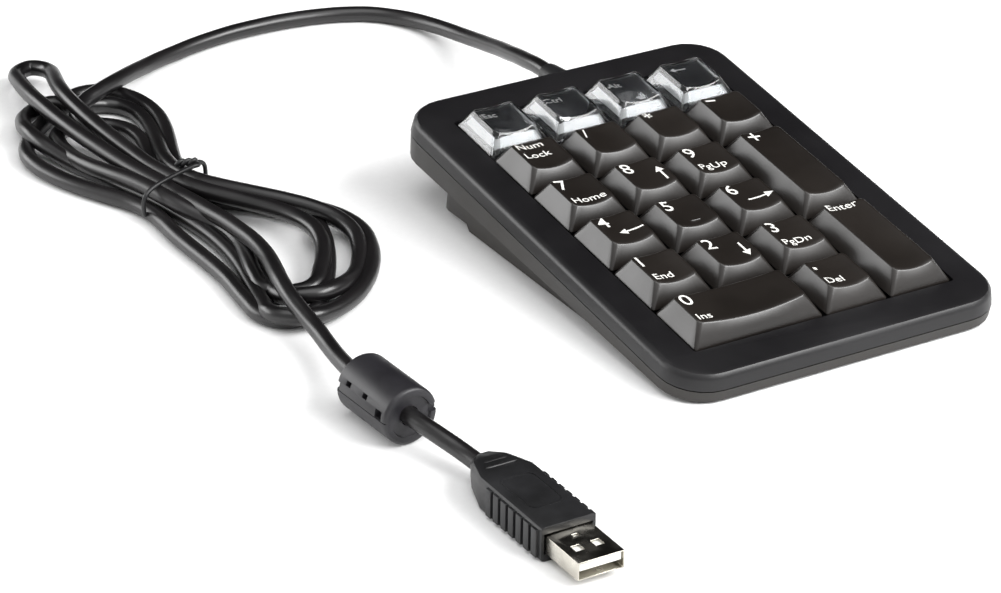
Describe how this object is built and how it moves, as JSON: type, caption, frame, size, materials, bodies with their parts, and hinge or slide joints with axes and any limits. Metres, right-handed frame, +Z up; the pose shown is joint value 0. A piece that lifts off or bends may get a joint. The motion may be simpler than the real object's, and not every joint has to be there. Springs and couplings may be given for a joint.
{
  "type": "numeric keypad",
  "caption": "Wedge-shaped desk keypad with dished sprung keys, clear-covered function keys along the rear, and a cord tied in a hank with a ferrite sleeve and a USB plug.",
  "frame": {"origin": "on the surface that the keypad stands on, under the middle of its case", "axes": "+X across the key columns to the right, +Y from the front edge to the edge that the cord leaves, +Z up"},
  "size_m": [0.1733, 0.3113, 0.0274],
  "materials": {
    "housing_plastic": "fine-textured charcoal ABS, satin where the edge radius catches light",
    "base_plastic": "fine-textured dark grey ABS",
    "keycap_plastic": "satin near-black brown, smooth dished top, printed white legends",
    "clear_cover": "clear polycarbonate cover over the light key body and its dark label",
    "insert_plastic": "light keycap body with a dark paper label on top, under the clear cover",
    "stem_plastic": "natural brown acetal plunger",
    "switch_plastic": "black switch bodies on a black plate",
    "board_laminate": "green solder mask on glass laminate",
    "chip_epoxy": "matt moulded epoxy",
    "foot_rubber": "matt black elastomer",
    "grip_plastic": "soft black moulded PVC",
    "cord_jacket": "semi-gloss black PVC jacket",
    "tie_plastic": "plastic-coated wire",
    "sleeve_plastic": "dark grey two-part ferrite housing",
    "plug_metal": "bright nickel-plated folded sheet",
    "tongue_plastic": "white contact carrier"
  },
  "bodies": {
    "case": {"top_housing": "housing_plastic", "bottom_housing": "base_plastic", "switch_plate": "switch_plastic", "circuit_board": "board_laminate", "controller_chip": "chip_epoxy", "rubber_foot_front_left": "foot_rubber", "rubber_foot_front_right": "foot_rubber", "rubber_foot_rear_left": "foot_rubber", "rubber_foot_rear_right": "foot_rubber", "strain_relief": "grip_plastic", "cable_lead": "cord_jacket", "cable_bundle": "cord_jacket", "cable_tie": "tie_plastic", "cable_tail": "cord_jacket", "ferrite_sleeve": "sleeve_plastic", "plug_overmould": "grip_plastic", "plug_shell": "plug_metal", "plug_tongue": "tongue_plastic"},
    "key_esc": {"keycap_esc": "insert_plastic", "cover_esc": "clear_cover"},
    "key_ctrl": {"keycap_ctrl": "insert_plastic", "cover_ctrl": "clear_cover"},
    "key_alt": {"keycap_alt": "insert_plastic", "cover_alt": "clear_cover"},
    "key_backspace": {"keycap_backspace": "insert_plastic", "cover_backspace": "clear_cover"},
    "key_num_lock": {"keycap_num_lock": "keycap_plastic", "stem_num_lock": "stem_plastic"},
    "key_divide": {"keycap_divide": "keycap_plastic", "stem_divide": "stem_plastic"},
    "key_multiply": {"keycap_multiply": "keycap_plastic", "stem_multiply": "stem_plastic"},
    "key_minus": {"keycap_minus": "keycap_plastic", "stem_minus": "stem_plastic"},
    "key_7": {"keycap_7": "keycap_plastic", "stem_7": "stem_plastic"},
    "key_8": {"keycap_8": "keycap_plastic", "stem_8": "stem_plastic"},
    "key_9": {"keycap_9": "keycap_plastic", "stem_9": "stem_plastic"},
    "key_plus": {"keycap_plus": "keycap_plastic", "stem_plus": "stem_plastic"},
    "key_4": {"keycap_4": "keycap_plastic", "stem_4": "stem_plastic"},
    "key_5": {"keycap_5": "keycap_plastic", "stem_5": "stem_plastic"},
    "key_6": {"keycap_6": "keycap_plastic", "stem_6": "stem_plastic"},
    "key_1": {"keycap_1": "keycap_plastic", "stem_1": "stem_plastic"},
    "key_2": {"keycap_2": "keycap_plastic", "stem_2": "stem_plastic"},
    "key_3": {"keycap_3": "keycap_plastic", "stem_3": "stem_plastic"},
    "key_enter": {"keycap_enter": "keycap_plastic", "stem_enter": "stem_plastic"},
    "key_0": {"keycap_0": "keycap_plastic", "stem_0": "stem_plastic"},
    "key_decimal": {"keycap_decimal": "keycap_plastic", "stem_decimal": "stem_plastic"}
  },
  "joints": [
    {"name": "key_esc_press", "type": "slide", "parent": "case", "child": "key_esc", "axis": [0, 0.1219, -0.9925], "range_m": [0, 0.003], "stiffness_N_per_m": 150, "springref_m": -0.002},
    {"name": "key_ctrl_press", "type": "slide", "parent": "case", "child": "key_ctrl", "axis": [0, 0.1219, -0.9925], "range_m": [0, 0.003], "stiffness_N_per_m": 150, "springref_m": -0.002},
    {"name": "key_alt_press", "type": "slide", "parent": "case", "child": "key_alt", "axis": [0, 0.1219, -0.9925], "range_m": [0, 0.003], "stiffness_N_per_m": 150, "springref_m": -0.002},
    {"name": "key_backspace_press", "type": "slide", "parent": "case", "child": "key_backspace", "axis": [0, 0.1219, -0.9925], "range_m": [0, 0.003], "stiffness_N_per_m": 150, "springref_m": -0.002},
    {"name": "key_num_lock_press", "type": "slide", "parent": "case", "child": "key_num_lock", "axis": [0, 0.1219, -0.9925], "range_m": [0, 0.003], "stiffness_N_per_m": 150, "springref_m": -0.002},
    {"name": "key_divide_press", "type": "slide", "parent": "case", "child": "key_divide", "axis": [0, 0.1219, -0.9925], "range_m": [0, 0.003], "stiffness_N_per_m": 150, "springref_m": -0.002},
    {"name": "key_multiply_press", "type": "slide", "parent": "case", "child": "key_multiply", "axis": [0, 0.1219, -0.9925], "range_m": [0, 0.003], "stiffness_N_per_m": 150, "springref_m": -0.002},
    {"name": "key_minus_press", "type": "slide", "parent": "case", "child": "key_minus", "axis": [0, 0.1219, -0.9925], "range_m": [0, 0.003], "stiffness_N_per_m": 150, "springref_m": -0.002},
    {"name": "key_7_press", "type": "slide", "parent": "case", "child": "key_7", "axis": [0, 0.1219, -0.9925], "range_m": [0, 0.003], "stiffness_N_per_m": 150, "springref_m": -0.002},
    {"name": "key_8_press", "type": "slide", "parent": "case", "child": "key_8", "axis": [0, 0.1219, -0.9925], "range_m": [0, 0.003], "stiffness_N_per_m": 150, "springref_m": -0.002},
    {"name": "key_9_press", "type": "slide", "parent": "case", "child": "key_9", "axis": [0, 0.1219, -0.9925], "range_m": [0, 0.003], "stiffness_N_per_m": 150, "springref_m": -0.002},
    {"name": "key_plus_press", "type": "slide", "parent": "case", "child": "key_plus", "axis": [0, 0.1219, -0.9925], "range_m": [0, 0.003], "stiffness_N_per_m": 150, "springref_m": -0.002},
    {"name": "key_4_press", "type": "slide", "parent": "case", "child": "key_4", "axis": [0, 0.1219, -0.9925], "range_m": [0, 0.003], "stiffness_N_per_m": 150, "springref_m": -0.002},
    {"name": "key_5_press", "type": "slide", "parent": "case", "child": "key_5", "axis": [0, 0.1219, -0.9925], "range_m": [0, 0.003], "stiffness_N_per_m": 150, "springref_m": -0.002},
    {"name": "key_6_press", "type": "slide", "parent": "case", "child": "key_6", "axis": [0, 0.1219, -0.9925], "range_m": [0, 0.003], "stiffness_N_per_m": 150, "springref_m": -0.002},
    {"name": "key_1_press", "type": "slide", "parent": "case", "child": "key_1", "axis": [0, 0.1219, -0.9925], "range_m": [0, 0.003], "stiffness_N_per_m": 150, "springref_m": -0.002},
    {"name": "key_2_press", "type": "slide", "parent": "case", "child": "key_2", "axis": [0, 0.1219, -0.9925], "range_m": [0, 0.003], "stiffness_N_per_m": 150, "springref_m": -0.002},
    {"name": "key_3_press", "type": "slide", "parent": "case", "child": "key_3", "axis": [0, 0.1219, -0.9925], "range_m": [0, 0.003], "stiffness_N_per_m": 150, "springref_m": -0.002},
    {"name": "key_enter_press", "type": "slide", "parent": "case", "child": "key_enter", "axis": [0, 0.1219, -0.9925], "range_m": [0, 0.003], "stiffness_N_per_m": 150, "springref_m": -0.002},
    {"name": "key_0_press", "type": "slide", "parent": "case", "child": "key_0", "axis": [0, 0.1219, -0.9925], "range_m": [0, 0.003], "stiffness_N_per_m": 150, "springref_m": -0.002},
    {"name": "key_decimal_press", "type": "slide", "parent": "case", "child": "key_decimal", "axis": [0, 0.1219, -0.9925], "range_m": [0, 0.003], "stiffness_N_per_m": 150, "springref_m": -0.002}
  ]
}
